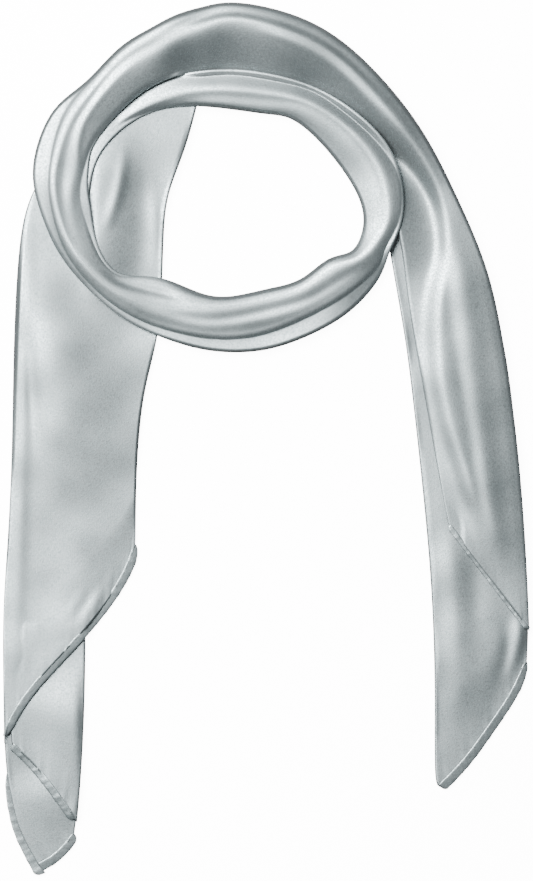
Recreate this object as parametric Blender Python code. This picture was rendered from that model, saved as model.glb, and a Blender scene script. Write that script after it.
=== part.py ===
# Satin square scarf: a 90 x 90 cm square folded corner to corner into a band and laid in one loop.
# Built in metres, +Z up, the underside on z = 0 and the origin below the middle of the laid scarf.
# The tables are in millimetres on the laid plan: x runs across to the right from the plan's left
# side, y runs down from its top side, z is the height over the surface that the scarf lies on.

import math

import bmesh
import bpy
from mathutils import Vector
from mathutils.bvhtree import BVHTree

MM = 0.001
PLAN_WIDTH = 251.1
PLAN_LENGTH = 414.6

CLEARANCE = 0.45
THINNEST_WALL = 1.4
EDGE_BULGE = 0.7
RUN_REACH = 4.0
LAYER_REACH = 6.4
HEM_REACH = 2.5
PROBE_HEIGHT = 60.0

HEM_HEIGHT = 1.8
HEM_GAP = 0.35
HEM_OUTLINE = ((-1.0, 0.3), (-1.0, 0.75), (-0.55, 1.0), (0.55, 1.0), (1.0, 0.75), (1.0, 0.3),
               (0.6, 0.0), (-0.6, 0.0))

SEAM_GAP = 0.42
ACROSS_BAND = 12
ACROSS_PANEL = 12
SIDE_POINTS = 3
FOLD_STEPS = 24
SHARP_ANGLE = 50.0

# Sections across the run of cloth that goes from the right tail's top layer over the top, down the
# left side, round the bottom of the ring, up its right side and back over the top to the left.
# Each row is one section from the run's outer edge to its inner edge: the two plan points, the
# height at the outer edge, a shoulder (share of the way across, height, step), the crown, the foot
# of its inner slope, and the height at the inner edge.
RUN_COLUMNS = (
    "out_x", "out_y", "in_x", "in_y", "out_z", "shoulder_at", "shoulder_z", "step",
    "crown_at", "crown_z", "foot_at", "foot_z", "in_z")

RIGHT_FRONT_ROWS = (
    (249.3, 297.0, 211.3, 247.4, 3.8, 0.15, 4.4, 0.0, 0.64, 5.8, 0.90, 4.2, 3.8),
    (247.8, 262.5, 207.5, 228.5, 4.2, 0.15, 5.2, 0.0, 0.66, 7.4, 0.90, 4.4, 3.8),
    (243.5, 208.5, 201.0, 193.0, 4.8, 0.13, 5.8, 0.0, 0.72, 7.8, 0.92, 4.8, 3.8),
    (235.5, 153.0, 192.5, 143.5, 5.4, 0.13, 6.4, 0.0, 0.66, 7.8, 0.86, 4.4, 3.6))

TOP_ARC_ROWS = (
    (226.5, 119.0, 189.0, 118.5, 6.0, 0.15, 7.2, 0.0, 0.46, 8.4, 0.72, 3.8, 2.8),
    (213.0, 88.0, 182.0, 89.5, 7.2, 0.12, 8.4, 0.0, 0.26, 9.2, 0.62, 2.0, 1.7),
    (195.5, 56.5, 171.5, 69.5, 7.4, 0.12, 9.0, 0.0, 0.28, 10.4, 0.74, 1.9, 1.6),
    (169.0, 26.0, 153.5, 51.0, 7.4, 0.12, 9.0, 0.0, 0.28, 11.0, 0.91, 1.8, 1.5),
    (141.5, 8.3, 135.0, 45.0, 8.0, 0.10, 9.5, 0.0, 0.24, 11.6, 0.92, 1.7, 1.5),
    (113.0, 1.4, 113.0, 40.0, 8.4, 0.08, 9.7, 0.0, 0.22, 11.8, 0.93, 1.7, 1.5),
    (96.5, 3.0, 100.0, 38.5, 8.4, 0.10, 9.8, 0.0, 0.28, 12.2, 0.88, 2.2, 1.7))

FRONT_BAND_ROWS = (
    (83.0, 7.0, 88.3, 35.8, 8.0, 0.12, 10.0, 0.0, 0.36, 12.6, 0.84, 6.0, 4.2),
    (70.5, 13.5, 76.0, 39.0, 7.8, 0.12, 10.0, 0.0, 0.40, 12.8, 0.88, 10.0, 8.0),
    (55.5, 23.2, 61.5, 48.5, 7.4, 0.14, 9.8, 0.0, 0.44, 12.8, 0.90, 11.0, 9.2),
    (40.0, 38.8, 46.0, 66.0, 7.0, 0.08, 8.6, 0.8, 0.40, 12.2, 0.90, 10.4, 8.8),
    (24.5, 53.0, 42.0, 78.0, 7.2, 0.22, 8.8, 1.0, 0.42, 11.3, 0.90, 9.8, 8.2),
    (15.7, 77.5, 41.5, 88.5, 7.2, 0.30, 8.8, 1.1, 0.44, 10.8, 0.90, 9.0, 7.4),
    (18.8, 99.0, 43.0, 99.0, 6.8, 0.24, 8.2, 1.1, 0.38, 10.2, 0.90, 8.4, 6.8),
    (28.5, 120.5, 46.5, 116.0, 6.4, 0.18, 7.4, 1.1, 0.40, 9.5, 0.88, 7.8, 6.2),
    (44.5, 139.0, 55.0, 128.0, 6.2, 0.15, 6.6, 1.2, 0.50, 9.0, 0.85, 7.4, 5.8),
    (60.5, 151.5, 67.0, 130.0, 5.8, 0.14, 5.8, 1.3, 0.50, 8.5, 0.78, 7.0, 5.2),
    (77.5, 159.5, 81.0, 132.5, 5.6, 0.16, 5.2, 1.4, 0.54, 7.9, 0.82, 6.5, 4.6),
    (96.0, 164.8, 98.5, 139.0, 5.4, 0.22, 4.8, 1.6, 0.76, 7.4, 0.92, 6.2, 3.8),
    (115.5, 166.0, 114.5, 138.5, 5.4, 0.25, 4.6, 1.6, 0.80, 7.2, 0.93, 6.0, 3.6),
    (134.0, 162.6, 128.0, 135.5, 5.4, 0.29, 4.6, 1.6, 0.80, 7.2, 0.93, 6.0, 3.6),
    (153.0, 154.5, 142.0, 131.0, 5.0, 0.32, 4.6, 1.6, 0.82, 7.4, 0.94, 6.0, 3.6),
    (168.0, 144.0, 154.5, 122.0, 3.8, 0.27, 4.8, 1.2, 0.80, 7.8, 0.94, 6.2, 3.6),
    (179.0, 130.5, 165.0, 118.4, 4.0, 0.22, 5.0, 1.1, 0.70, 8.2, 0.90, 6.2, 3.6))

INNER_ARC_ROWS = (
    (183.6, 118.6, 170.0, 110.5, 4.4, 0.10, 5.6, 0.4, 0.48, 8.5, 0.80, 6.2, 3.8),
    (188.5, 107.0, 171.0, 102.0, 5.0, 0.10, 6.4, 0.0, 0.34, 8.7, 0.66, 6.8, 4.4),
    (190.0, 92.0, 168.5, 92.5, 5.2, 0.10, 6.6, 0.0, 0.34, 8.7, 0.66, 6.8, 4.6),
    (186.0, 74.5, 161.5, 80.5, 5.0, 0.10, 6.4, 0.0, 0.36, 8.6, 0.66, 6.9, 4.8),
    (173.5, 58.0, 150.0, 66.5, 4.6, 0.10, 6.0, 0.0, 0.38, 8.6, 0.68, 7.0, 5.0),
    (153.0, 43.5, 137.5, 56.5, 3.9, 0.10, 4.9, 0.0, 0.44, 8.5, 0.74, 7.1, 5.4),
    (132.0, 36.0, 126.0, 54.0, 3.6, 0.10, 4.5, 0.0, 0.48, 8.4, 0.76, 7.2, 5.8),
    (112.0, 33.0, 111.0, 52.0, 3.4, 0.10, 4.3, 0.0, 0.50, 8.4, 0.78, 7.3, 6.0),
    (94.0, 33.7, 96.5, 50.5, 3.6, 0.10, 4.5, 0.0, 0.56, 8.4, 0.80, 7.5, 6.0),
    (77.5, 37.5, 84.0, 50.5, 4.4, 0.10, 5.8, 0.0, 0.64, 8.0, 0.86, 7.2, 5.6),
    (60.5, 46.5, 70.5, 53.5, 4.6, 0.12, 5.6, 0.0, 0.68, 7.6, 0.88, 6.6, 5.4),
    (46.5, 60.0, 56.0, 62.5, 4.8, 0.15, 5.4, 0.0, 0.60, 7.0, 0.85, 6.2, 5.2),
    (36.0, 78.0, 45.4, 77.0, 5.0, 0.15, 5.6, 0.0, 0.50, 6.4, 0.85, 6.0, 5.2),
    (32.4, 96.0, 41.6, 95.0, 5.0, 0.15, 5.6, 0.0, 0.50, 6.2, 0.85, 5.8, 5.2))

RUN_ROWS = RIGHT_FRONT_ROWS + TOP_ARC_ROWS + FRONT_BAND_ROWS + INNER_ARC_ROWS
TOP_ARC_START = len(RIGHT_FRONT_ROWS)
FRONT_BAND_START = TOP_ARC_START + len(TOP_ARC_ROWS)
INNER_ARC_START = FRONT_BAND_START + len(FRONT_BAND_ROWS)
INNER_ARC_END = len(RUN_ROWS) - 1

# Folds along the run: first and last section, rise (a trough is below zero), half widths towards
# the outer and the inner edge, then its share of the way across at even steps between them.
RUN_FOLDS = (
    ("right tail soft ridge", 0.0, 5.0, 0.6, 5.5, 5.0, (0.38, 0.38, 0.40, 0.36, 0.30, 0.26)),
    ("right tail trough", 0.0, 4.5, -0.5, 3.6, 3.6, (0.52, 0.52, 0.55, 0.52, 0.44)),
    ("top rim ridge", 6.0, 12.5, 0.2, 1.6, 1.8, (0.14, 0.10, 0.08, 0.07, 0.08, 0.13, 0.18)),
    ("top rim dip", 6.0, 11.5, -0.35, 1.8, 1.8, (0.22, 0.18, 0.16, 0.14, 0.18, 0.25)),
    ("upper right second ridge", 6.2, 8.8, 0.4, 2.2, 2.6, (0.44, 0.40, 0.34, 0.30)),
    ("left ridge", 10.5, 19.5, 0.55, 2.2, 2.4,
     (0.14, 0.18, 0.20, 0.205, 0.26, 0.35, 0.34, 0.31, 0.45, 0.53)),
    ("left trough", 11.0, 18.5, -0.7, 2.0, 2.2, (0.27, 0.30, 0.31, 0.48, 0.55, 0.46, 0.48)),
    ("left second ridge", 12.0, 17.5, 0.45, 2.2, 2.2, (0.42, 0.44, 0.52, 0.76, 0.70, 0.62)),
    ("left inner trough", 14.5, 18.0, -0.5, 1.6, 1.6, (0.92, 0.92, 0.90, 0.89, 0.88)),
    ("ring low ridge", 19.0, 27.5, 0.6, 2.4, 2.4,
     (0.25, 0.33, 0.41, 0.49, 0.50, 0.50, 0.42, 0.36)),
    ("ring low trough", 19.5, 28.0, -0.6, 2.0, 2.0, (0.40, 0.43, 0.58, 0.66, 0.68, 0.60, 0.45)),
    ("ring inner flap trough", 18.5, 21.5, -0.6, 2.0, 2.2, (0.80, 0.76, 0.74, 0.78)),
    ("ring groove", 28.0, 38.0, -0.5, 1.6, 2.0,
     (0.62, 0.52, 0.50, 0.50, 0.52, 0.60, 0.67, 0.69, 0.75, 0.83)),
    ("ring upper edge dip", 30.0, 37.0, -0.2, 1.5, 1.8, (0.14, 0.12, 0.14, 0.18, 0.18, 0.20)))

# Flat layers, each a patch between four border curves given by the fewest plan points: left side
# and right side from top to bottom, then the bottom side from left to right.
LEFT_TOP_SIDES = {
    "left": ((42.5, 57.0), (27.5, 71.0), (16.5, 88.5), (10.8, 105.5), (8.0, 130.0), (6.6, 160.0),
             (6.0, 187.5), (5.2, 222.0), (3.6, 254.0), (2.0, 280.0), (1.5, 306.0), (2.0, 350.0)),
    "right": ((93.8, 46.0), (87.5, 69.0), (80.5, 88.5), (77.5, 106.0), (76.5, 130.5), (74.0, 159.0),
              (67.8, 187.5), (64.6, 222.0), (64.0, 247.0), (63.8, 256.0)),
    "bottom": ((2.0, 350.0), (5.0, 340.0), (16.5, 322.5), (36.0, 301.0), (53.0, 279.5),
               (61.0, 264.5), (63.8, 256.0))}
LEFT_MIDDLE_SIDES = {
    "left": ((4.0, 298.0), (4.2, 326.0), (5.6, 350.5)),
    "right": ((40.4, 298.0), (39.8, 334.0), (38.2, 366.0), (36.4, 387.0)),
    "bottom": ((5.6, 350.5), (17.0, 361.5), (28.0, 375.5), (36.4, 387.0))}
LEFT_UNDER_SIDES = {
    "left": ((2.0, 316.0), (1.8, 339.0), (3.0, 362.0), (5.6, 378.0), (9.6, 392.0), (18.0, 407.6)),
    "right": ((39.6, 316.0), (39.0, 340.0), (37.6, 370.0), (35.0, 393.0)),
    "bottom": ((18.0, 407.6), (27.0, 402.0), (35.0, 393.0))}
RIGHT_BACK_SIDES = {
    "left": ((181.0, 104.0), (188.2, 145.0), (192.9, 176.0), (198.5, 226.0), (202.8, 274.0),
             (204.6, 322.0), (204.8, 362.0), (207.0, 370.6)),
    "right": ((219.0, 104.0), (235.3, 153.0), (243.3, 208.5), (247.4, 259.5), (248.8, 292.0),
              (248.2, 311.0)),
    "bottom": ((207.0, 370.6), (219.0, 358.0), (229.5, 344.0), (240.0, 328.5), (245.8, 317.0),
               (248.2, 311.0))}

# Folds on the flat layers: three plan points on the fold's line, its rise and its half widths to
# the left and to the right of the line.
LEFT_TOP_FOLDS = (
    ("slope in the ring", (47.0, 40.0), (47.0, 92.0), (46.0, 152.0), 2.8, 8.0, 26.0),
    ("falls to the right", (16.0, 104.0), (22.0, 190.0), (36.0, 280.0), 2.6, 14.0, 48.0),
    ("tongue in the ring", (59.0, 66.0), (56.0, 90.0), (47.5, 114.0), 0.7, 3.0, 2.6),
    ("hollow in the ring", (67.5, 52.0), (61.5, 98.0), (55.0, 156.0), -2.2, 6.0, 8.0),
    ("upright in the ring", (71.0, 76.0), (73.0, 105.5), (72.5, 136.0), 0.3, 3.2, 3.0),
    ("pressed by the ring", (18.0, 100.0), (40.0, 140.0), (76.0, 162.0), -2.4, 13.0, 8.0),
    ("rim", (11.6, 138.0), (9.8, 212.0), (6.6, 310.0), 0.9, 3.0, 4.5),
    ("stripe beside the rim", (12.2, 138.0), (14.3, 182.0), (16.8, 222.0), -0.4, 2.6, 3.2),
    ("long ridge", (13.6, 118.0), (23.0, 180.0), (37.0, 250.0), 2.2, 9.0, 19.0),
    ("lower ridge", (38.0, 230.0), (37.5, 268.0), (27.0, 310.0), 0.6, 10.0, 14.0),
    ("right side swell", (67.0, 160.0), (62.0, 205.0), (60.0, 250.0), 0.4, 4.0, 4.0))
LEFT_MIDDLE_FOLDS = (
    ("long swell", (35.0, 310.0), (34.5, 345.0), (33.5, 384.0), 1.2, 15.0, 4.0),
    ("shallow by the hem", (12.0, 330.0), (19.0, 352.0), (28.0, 372.0), -0.3, 6.0, 7.0))
LEFT_UNDER_FOLDS = (
    ("corner swell", (20.0, 356.0), (28.0, 378.0), (30.0, 402.0), 0.8, 14.0, 5.0),)
RIGHT_BACK_FOLDS = (
    ("left side swell", (207.0, 236.0), (213.0, 300.0), (214.0, 372.0), 1.1, 9.0, 6.0),
    ("dark hollow", (220.0, 244.0), (223.0, 276.0), (224.0, 312.0), -0.7, 6.0, 6.0),
    ("crinkle by the hem", (243.0, 286.0), (244.8, 304.0), (238.0, 326.0), 1.3, 3.4, 2.6),
    ("dent by the crinkle", (236.5, 288.0), (238.8, 308.0), (232.0, 328.0), -0.5, 3.0, 3.0),
    ("middle swell", (231.0, 292.0), (232.0, 320.0), (224.0, 350.0), 0.5, 6.0, 6.0))

# Height of each flat layer's top in its middle, by distance down the plan.
LEFT_TOP_HEIGHTS = ((50.0, 3.8), (122.0, 4.0), (165.0, 3.2), (262.0, 2.6), (300.0, 3.4), (330.0, 5.0),
                    (352.0, 5.0))
LEFT_MIDDLE_HEIGHTS = ((298.0, 1.2), (312.0, 2.2), (330.0, 3.4), (400.0, 3.4))
LEFT_UNDER_HEIGHTS = ((316.0, 0.9), (334.0, 1.6), (410.0, 1.6))
RIGHT_BACK_HEIGHTS = ((110.0, 2.0), (240.0, 2.0), (300.0, 2.6), (380.0, 2.4))

# Rolled hems along the borders of the layers: the border, the shares of it where the hem starts
# and stops, the hem's width at both ends, and its number of sections.
RIGHT_FRONT_END = (RIGHT_FRONT_ROWS[0][2:4], RIGHT_FRONT_ROWS[0][0:2])
HEM_ROWS = {
    "left_corner_side_hem": (LEFT_UNDER_SIDES["left"], 0.58, 1.05, 2.0, 4.0, 8),
    "left_corner_end_hem": (LEFT_UNDER_SIDES["bottom"], 0.02, 1.0, 4.0, 3.4, 6),
    "left_middle_hem": (LEFT_MIDDLE_SIDES["bottom"], 0.0, 1.0, 3.0, 3.4, 10),
    "left_top_hem": (LEFT_TOP_SIDES["bottom"], 0.02, 0.95, 3.4, 3.4, 18),
    "right_front_hem": (RIGHT_FRONT_END, 0.02, 0.98, 3.4, 3.4, 12),
    "right_back_hem": (RIGHT_BACK_SIDES["bottom"], 0.0, 0.97, 4.4, 2.0, 12)}

SATIN = {"color": (0.60, 0.64, 0.65, 1.0), "roughness": 0.38, "metallic": 0.15}
LAYER_SATIN = {"color": (0.56, 0.60, 0.61, 1.0), "roughness": 0.40, "metallic": 0.15}
HEM_SATIN = {"color": (0.66, 0.69, 0.70, 1.0), "roughness": 0.45, "metallic": 0.10}


def clear_scene():
    for item in list(bpy.data.objects):
        bpy.data.objects.remove(item, do_unlink=True)


def ease(value):
    value = min(1.0, max(0.0, value))
    return value * value * (3.0 - 2.0 * value)


def through(values, place):
    """Smooth curve through evenly spaced values, read at a place between 0 and the last index."""
    last = len(values) - 1
    place = min(max(place, 0.0), float(last))
    index = min(int(place), last - 1)
    part = place - index
    here, ahead = values[index], values[index + 1]
    before = values[index - 1] if index > 0 else 2.0 * here - ahead
    beyond = values[index + 2] if index + 2 <= last else 2.0 * ahead - here
    slope_here = 0.5 * (ahead - before)
    slope_ahead = 0.5 * (beyond - here)
    square, cube = part * part, part ** 3
    return ((2 * cube - 3 * square + 1) * here + (cube - 2 * square + part) * slope_here
            + (3 * square - 2 * cube) * ahead + (cube - square) * slope_ahead)


def without_overshoot(knots, place):
    """Curve through (position, height) knots that never swings past a knot's height."""
    if place <= knots[0][0]:
        return knots[0][1]
    if place >= knots[-1][0]:
        return knots[-1][1]
    rises = [(b[1] - a[1]) / (b[0] - a[0]) for a, b in zip(knots, knots[1:])]
    slopes = [rises[0]]
    for left, right in zip(rises, rises[1:]):
        slopes.append(0.0 if left * right <= 0.0 else 2.0 * left * right / (left + right))
    slopes.append(rises[-1])
    index = max(i for i, knot in enumerate(knots[:-1]) if knot[0] <= place)
    start, end = knots[index], knots[index + 1]
    length = end[0] - start[0]
    part = (place - start[0]) / length
    square, cube = part * part, part ** 3
    return ((2 * cube - 3 * square + 1) * start[1] + (cube - 2 * square + part) * length * slopes[index]
            + (3 * square - 2 * cube) * end[1] + (cube - square) * length * slopes[index + 1])


def section_at(place):
    """The run's section at a place, as a dictionary of named columns."""
    return {name: through([row[i] for row in RUN_ROWS], place) for i, name in enumerate(RUN_COLUMNS)}


def fold_rise(place, share, width):
    """Sum of the run's folds at one point of the run."""
    rise = 0.0
    for _, first, last, height, outer_half, inner_half, line in RUN_FOLDS:
        if first <= place <= last:
            along = (place - first) / (last - first)
            centre = through(line, along * (len(line) - 1))
            fade = ease(along * 5.0) * ease((1.0 - along) * 5.0)
            half_width = outer_half if share < centre else inner_half
            rise += height * fade * math.exp(-((share - centre) * width / half_width) ** 2)
    return rise


def run_height(section, place, share, width):
    """Height of the run's upper face at a share of the way across one section."""
    knots = ((0.0, section["out_z"]), (section["shoulder_at"], section["shoulder_z"]),
             (section["crown_at"], section["crown_z"]), (section["foot_at"], section["foot_z"]),
             (1.0, section["in_z"]))
    height = without_overshoot(knots, share)
    past_step = (share - section["shoulder_at"]) * width
    to_crown = (section["crown_at"] - share) / (section["crown_at"] - section["shoulder_at"])
    height += section["step"] * ease(past_step) * min(1.0, max(0.0, to_crown))
    edge_fade = ease(min(share, 1.0 - share) * width / 2.0)
    return height + edge_fade * fold_rise(place, share, width)


def curve_through(points, share):
    """Point on a smooth curve through plan points, at a share of its length by points."""
    place = share * (len(points) - 1)
    return Vector((through([p[0] for p in points], place), through([p[1] for p in points], place)))


def even_curve(points, share):
    """Point on the same curve at a share of its real length."""
    steps = 80
    walk = [curve_through(points, i / steps) for i in range(steps + 1)]
    lengths = [0.0]
    for a, b in zip(walk, walk[1:]):
        lengths.append(lengths[-1] + (b - a).length)
    target = share * lengths[-1]
    if share > 1.0:
        return walk[-1] + (walk[-1] - walk[-2]).normalized() * (share - 1.0) * lengths[-1]
    index = min(steps - 1, max(i for i, length in enumerate(lengths) if length <= target + 1e-9))
    part = (target - lengths[index]) / max(1e-9, lengths[index + 1] - lengths[index])
    return walk[index].lerp(walk[index + 1], min(1.0, part))


def line_fold(folds, point):
    """Sum of a flat layer's folds at a plan point."""
    rise = 0.0
    for _, start, middle, end, height, left_half, right_half in folds:
        gaps = [(point - curve_through((start, middle, end), i / FOLD_STEPS)).length
                for i in range(FOLD_STEPS + 1)]
        at = gaps.index(min(gaps)) / FOLD_STEPS
        fade = ease(at * 2.2) * ease((1.0 - at) * 2.2)
        half_width = left_half if point.x < curve_through((start, middle, end), at).x else right_half
        rise += height * fade * math.exp(-(min(gaps) / half_width) ** 2)
    return rise


def rest_height(below, point, reach):
    """Height at which a layer clears everything below it near a plan point; 0 over bare surface."""
    highest = None
    for radius in (0.0, 0.5 * reach, reach):
        for turn in range(1 if radius == 0.0 else 8):
            angle = turn * math.pi / 4
            spot = Vector((point.x + radius * math.cos(angle), point.y + radius * math.sin(angle)))
            start = to_world(spot, PROBE_HEIGHT)
            for tree in below:
                hit = tree.ray_cast(start, Vector((0.0, 0.0, -1.0)))[0]
                if hit is not None and (highest is None or hit.z / MM > highest):
                    highest = hit.z / MM
    return 0.0 if highest is None else highest + CLEARANCE


def to_world(point, height):
    return Vector(((point.x - PLAN_WIDTH / 2) * MM, (PLAN_LENGTH / 2 - point.y) * MM, height * MM))


def satin(name, look):
    made = bpy.data.materials.new(name)
    made.use_nodes = True
    shader = made.node_tree.nodes["Principled BSDF"]
    shader.inputs["Base Color"].default_value = look["color"]
    shader.inputs["Roughness"].default_value = look["roughness"]
    shader.inputs["Metallic"].default_value = look["metallic"]
    return made


def side_points(top, bottom, outward):
    """Two folded layers on the side of a section: out, in and out again from top to bottom."""
    depth = top[1] - bottom[1]
    bulge = min(EDGE_BULGE, 0.35 * depth)
    points = []
    for level, push in ((0.78, 1.0), (0.5, 0.25), (0.22, 1.0)):
        points.append((bottom[0] + outward * bulge * push, bottom[1] + depth * level))
    return points


def make_section(spots, tops, below, reach):
    """Closed section: plan spots across, their top heights, undersides over what lies below."""
    bottoms = [rest_height(below, spot, reach) for spot in spots]
    tops = [max(top, bottom + THINNEST_WALL) for top, bottom in zip(tops, bottoms)]
    first_way = (spots[0] - spots[1]).normalized()
    last_way = (spots[-1] - spots[-2]).normalized()
    first_side = side_points((spots[0], tops[0]), (spots[0], bottoms[0]), first_way)
    last_side = side_points((spots[-1], tops[-1]), (spots[-1], bottoms[-1]), last_way)
    ring = list(zip(spots, tops))
    ring += last_side
    ring += list(zip(reversed(spots), reversed(bottoms)))
    ring += list(reversed(first_side))
    return [to_world(spot, height) for spot, height in ring]


def skin_rings(name, rings, end_faces, look):
    """Closed solid: a skin through the section rings, with the given faces at both ends."""
    bm = bmesh.new()
    rows = [[bm.verts.new(point) for point in ring] for ring in rings]
    for row, following in zip(rows, rows[1:]):
        for i in range(len(row)):
            j = (i + 1) % len(row)
            bm.faces.new((row[i], row[j], following[j], following[i]))
    for face in end_faces:
        bm.faces.new([rows[0][i] for i in reversed(face)])
        bm.faces.new([rows[-1][i] for i in face])
    bmesh.ops.triangulate(bm, faces=bm.faces[:])
    bmesh.ops.recalc_face_normals(bm, faces=bm.faces[:])
    if bm.calc_volume(signed=True) < 0.0:
        bmesh.ops.reverse_faces(bm, faces=bm.faces[:])
    mesh = bpy.data.meshes.new(name)
    bm.to_mesh(mesh)
    bm.free()
    mesh.materials.append(satin(name + "_satin", look))
    made = bpy.data.objects.new(name, mesh)
    bpy.context.scene.collection.objects.link(made)
    mesh.shade_smooth()
    mesh.set_sharp_from_angle(angle=math.radians(SHARP_ANGLE))
    return made


def layered_ends(across, side):
    """Faces that close a layered section: strips from top to bottom and one face at each side."""
    last = 2 * across + side - 1
    faces = [(i, i + 1, last - 1 - i, last - i) for i in range(across - 1)]
    faces.append(tuple(range(across - 1, across + side + 1)))
    faces.append(tuple(range(last, last + side + 1)) + (0,))
    return faces


def tree_of(made):
    points = [vertex.co.copy() for vertex in made.data.vertices]
    return BVHTree.FromPolygons(points, [tuple(face.vertices) for face in made.data.polygons])


def run_stretch(name, first, last, stations, below, look):
    """One stretch of the run between two places, as a rounded solid of folded layers."""
    rings = []
    for step in range(stations):
        place = first + (last - first) * step / (stations - 1)
        section = section_at(place)
        outer = Vector((section["out_x"], section["out_y"]))
        inner = Vector((section["in_x"], section["in_y"]))
        way = (inner - outer).normalized()
        outer, inner = outer + way * EDGE_BULGE, inner - way * EDGE_BULGE
        width = (inner - outer).length
        shares = [0.5 - 0.5 * math.cos(math.pi * (0.12 + 0.76 * i / (ACROSS_BAND - 1)))
                  for i in range(ACROSS_BAND)]
        low, high = shares[0], shares[-1]
        shares = [(share - low) / (high - low) for share in shares]
        spots = [outer.lerp(inner, share) for share in shares]
        tops = [run_height(section, place, share, width) for share in shares]
        rings.append(make_section(spots, tops, below, RUN_REACH))
    return skin_rings(name, rings, layered_ends(ACROSS_BAND, SIDE_POINTS), look)


def flat_layer(name, sides, heights, folds, stations, below, look):
    """One flat layer: a patch between its border curves, with soft edges and its own folds."""
    bottom_line = sides["bottom"]
    rings = []
    for step in range(stations):
        down = step / (stations - 1)
        left, right = even_curve(sides["left"], down), even_curve(sides["right"], down)
        low_left, low_right = Vector(bottom_line[0]), Vector(bottom_line[-1])
        spots, tops = [], []
        for i in range(ACROSS_PANEL):
            share = i / (ACROSS_PANEL - 1)
            bend = even_curve(bottom_line, share) - low_left.lerp(low_right, share)
            spot = left.lerp(right, share) + bend * down ** 2
            height = without_overshoot(heights, spot.y)
            edge = ease(min(share, 1.0 - share) * (right - left).length / 3.5)
            height = height * (0.72 + 0.28 * edge) + edge * line_fold(folds, spot)
            spots.append(spot)
            tops.append(height)
        spots[0] += (spots[1] - spots[0]).normalized() * EDGE_BULGE
        spots[-1] += (spots[-2] - spots[-1]).normalized() * EDGE_BULGE
        rings.append(make_section(spots, tops, below, LAYER_REACH))
    return skin_rings(name, rings, layered_ends(ACROSS_PANEL, SIDE_POINTS), look)


def hem(name, below, look):
    """Rolled hem: a low rounded strip just outside a border, lying on what is below it."""
    border, first, last, first_width, last_width, stations = HEM_ROWS[name]
    rings = []
    for step in range(stations):
        along = step / (stations - 1)
        share = first + (last - first) * along
        near = min(share, 1.0)
        ahead = even_curve(border, min(1.0, near + 0.02)) - even_curve(border, max(0.0, near - 0.02))
        outward = Vector((-ahead.y, ahead.x)).normalized()
        half = 0.5 * (first_width + (last_width - first_width) * along)
        centre = even_curve(border, share) + outward * (half + HEM_GAP)
        base = max(rest_height(below, centre + outward * half * side, HEM_REACH)
                   for side in (-1.0, 0.0, 1.0))
        rings.append([to_world(centre + outward * half * side, base + HEM_HEIGHT * level)
                      for side, level in HEM_OUTLINE])
    return skin_rings(name, rings, [tuple(range(len(HEM_OUTLINE)))], look)


def seam(place, side):
    """Place just before or after a seam of the run, half the seam gap away."""
    here, ahead = section_at(place), section_at(place + side * 0.1)
    step = math.hypot(here["out_x"] + here["in_x"] - ahead["out_x"] - ahead["in_x"],
                      here["out_y"] + here["in_y"] - ahead["out_y"] - ahead["in_y"]) / 2
    return place + side * 0.1 * (SEAM_GAP / 2) / step


def build():
    clear_scene()
    laid = {}

    def under(*names):
        return [laid[name] for name in names]

    def keep(made):
        laid[made.name] = tree_of(made)

    keep(flat_layer("left_tail_under", LEFT_UNDER_SIDES, LEFT_UNDER_HEIGHTS, LEFT_UNDER_FOLDS,
                    12, [], LAYER_SATIN))
    keep(hem("left_corner_side_hem", [], HEM_SATIN))
    keep(hem("left_corner_end_hem", [], HEM_SATIN))
    corner = ("left_tail_under", "left_corner_side_hem", "left_corner_end_hem")
    keep(flat_layer("left_tail_middle", LEFT_MIDDLE_SIDES, LEFT_MIDDLE_HEIGHTS, LEFT_MIDDLE_FOLDS,
                    10, under(*corner), LAYER_SATIN))
    keep(hem("left_middle_hem", under(*corner), HEM_SATIN))
    left_end = corner + ("left_tail_middle", "left_middle_hem")
    keep(flat_layer("left_tail_top", LEFT_TOP_SIDES, LEFT_TOP_HEIGHTS, LEFT_TOP_FOLDS,
                    44, under(*left_end), SATIN))
    keep(hem("left_top_hem", under(*left_end), HEM_SATIN))

    keep(flat_layer("right_tail_back", RIGHT_BACK_SIDES, RIGHT_BACK_HEIGHTS, RIGHT_BACK_FOLDS,
                    20, [], LAYER_SATIN))
    keep(hem("right_back_hem", [], HEM_SATIN))
    right_end = ("right_tail_back", "right_back_hem")
    keep(run_stretch("right_tail_front", 0.0, seam(TOP_ARC_START, -1), 16, under(*right_end), SATIN))
    keep(hem("right_front_hem", under(*right_end), HEM_SATIN))
    keep(run_stretch("top_arc", seam(TOP_ARC_START, 1), seam(FRONT_BAND_START, -1), 26,
                     under("right_tail_back"), SATIN))

    right_side = ("right_tail_back", "right_tail_front", "top_arc")
    keep(run_stretch("inner_arc", seam(INNER_ARC_START, 1), INNER_ARC_END, 34,
                     under("left_tail_top", *right_side), SATIN))
    keep(run_stretch("front_band", seam(FRONT_BAND_START, 1), seam(INNER_ARC_START, -1), 46,
                     under("left_tail_top", "inner_arc", "right_tail_back", "right_tail_front"),
                     SATIN))


build()
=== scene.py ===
# The looks of the satin square scarf: thin cloth shells, rolled hems and stitches in place of the
# frame's solids, with their satin, soft light and a camera straight above.
# The tables are in millimetres on the laid plan, as in the part's source: x runs to the right from
# the plan's left side, y runs down from its top side, z is the height over the surface.

import math

import bmesh
import bpy
import numpy as np
from mathutils import Matrix, Vector
from mathutils.bvhtree import BVHTree


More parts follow.
